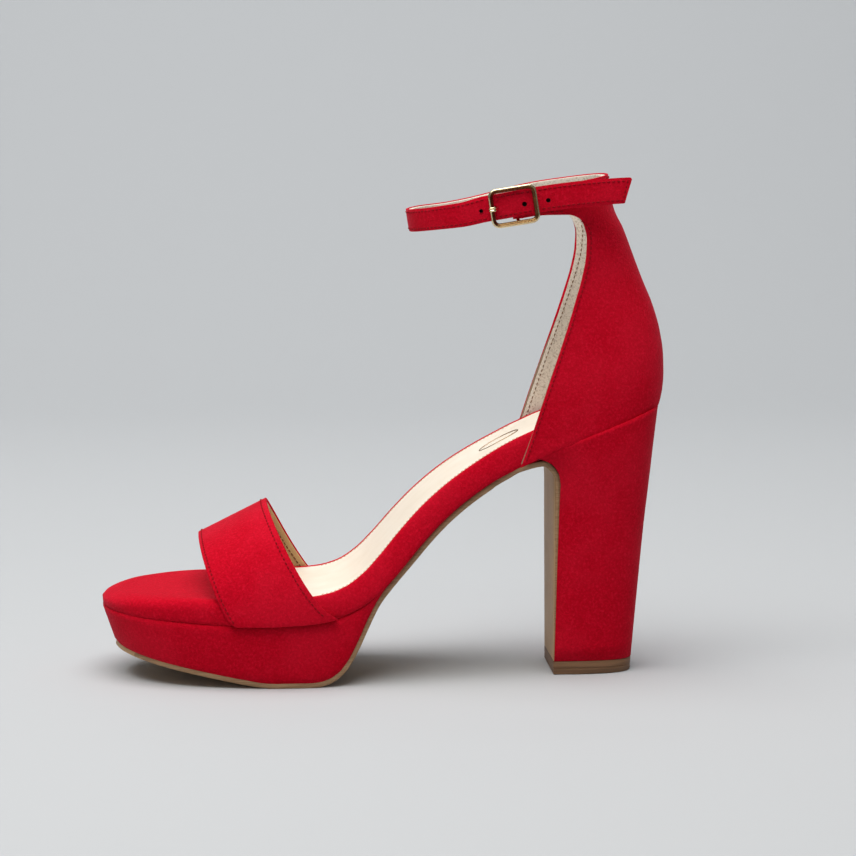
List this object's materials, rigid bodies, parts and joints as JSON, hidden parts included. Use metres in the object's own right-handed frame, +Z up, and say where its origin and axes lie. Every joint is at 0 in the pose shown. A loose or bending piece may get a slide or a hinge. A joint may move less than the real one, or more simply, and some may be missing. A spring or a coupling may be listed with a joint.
{
  "type": "high heel platform sandal",
  "caption": "Open-toe platform sandal with a wide toe strap, a closed counter, a buckled ankle strap and a tall covered block heel.",
  "frame": {"origin": "middle of the shoe's box on the ground plane it stands on", "axes": "+Z up, +X towards the heel, the toe points along -X, -Y is the outer side of the foot with the buckle"},
  "size_m": [0.2206, 0.0888, 0.1952],
  "materials": {
    "suede": "red microsuede, matt with a short nap",
    "lining_cream": "cream lining leather, satin",
    "counter_lining": "beige speckled lining",
    "vamp_lining": "golden tan lining",
    "outsole": "tan sole, satin",
    "heel_lift": "brown top lift, matt",
    "board": "pressed board",
    "foam": "cushion foam",
    "plastic": "moulded plastic",
    "steel": "plain steel",
    "gold_metal": "polished pale gold plate"
  },
  "bodies": {
    "root": {"vamp": "suede", "counter": "suede", "toe_cover": "suede", "footbed_wrap": "suede", "platform_cover": "suede", "heel_cover": "suede", "sock_lining": "lining_cream", "counter_lining": "counter_lining", "vamp_lining": "vamp_lining", "outsole": "outsole", "heel_lift": "heel_lift", "insole_board": "board", "bottom_filler": "board", "counter_stiffener": "board", "insole_foam": "foam", "platform_core": "plastic", "heel_core": "plastic", "steel_shank": "steel", "shank_rivet_front": "steel", "shank_rivet_rear": "steel", "heel_screw": "steel", "heel_nail_1": "steel", "heel_nail_2": "steel", "heel_nail_3": "steel", "heel_nail_4": "steel", "heel_lift_pin": "steel"},
    "strap": {"ankle_strap": "suede", "ankle_strap_lining": "lining_cream", "buckle_tab": "suede", "buckle_tab_lining": "lining_cream"},
    "tail": {"strap_tail": "suede", "strap_tail_lining": "lining_cream"},
    "buckle": {"buckle_frame": "gold_metal"},
    "prong": {"buckle_prong": "gold_metal"}
  },
  "joints": [
    {"name": "ankle_strap_tilt", "type": "hinge", "parent": "root", "child": "strap", "pos_m": [0.0755, 0.0013, 0.18839], "axis": [0, 1, 0], "range_deg": [-20, 12], "stiffness_Nm_per_rad": 0.15},
    {"name": "strap_tail_flex", "type": "hinge", "parent": "strap", "child": "tail", "pos_m": [0.05908, -0.0281, 0.18579], "axis": [0.1561, 0, -0.9877], "range_deg": [0, 35], "stiffness_Nm_per_rad": 0.02},
    {"name": "buckle_rock", "type": "hinge", "parent": "strap", "child": "buckle", "pos_m": [0.05019, -0.0238, 0.18439], "axis": [0.1561, 0, -0.9877], "range_deg": [-1.5, 1.5]},
    {"name": "prong_lift", "type": "hinge", "parent": "buckle", "child": "prong", "pos_m": [0.05019, -0.0238, 0.18439], "axis": [-0.1561, 0, 0.9877], "range_deg": [0, 5]}
  ]
}
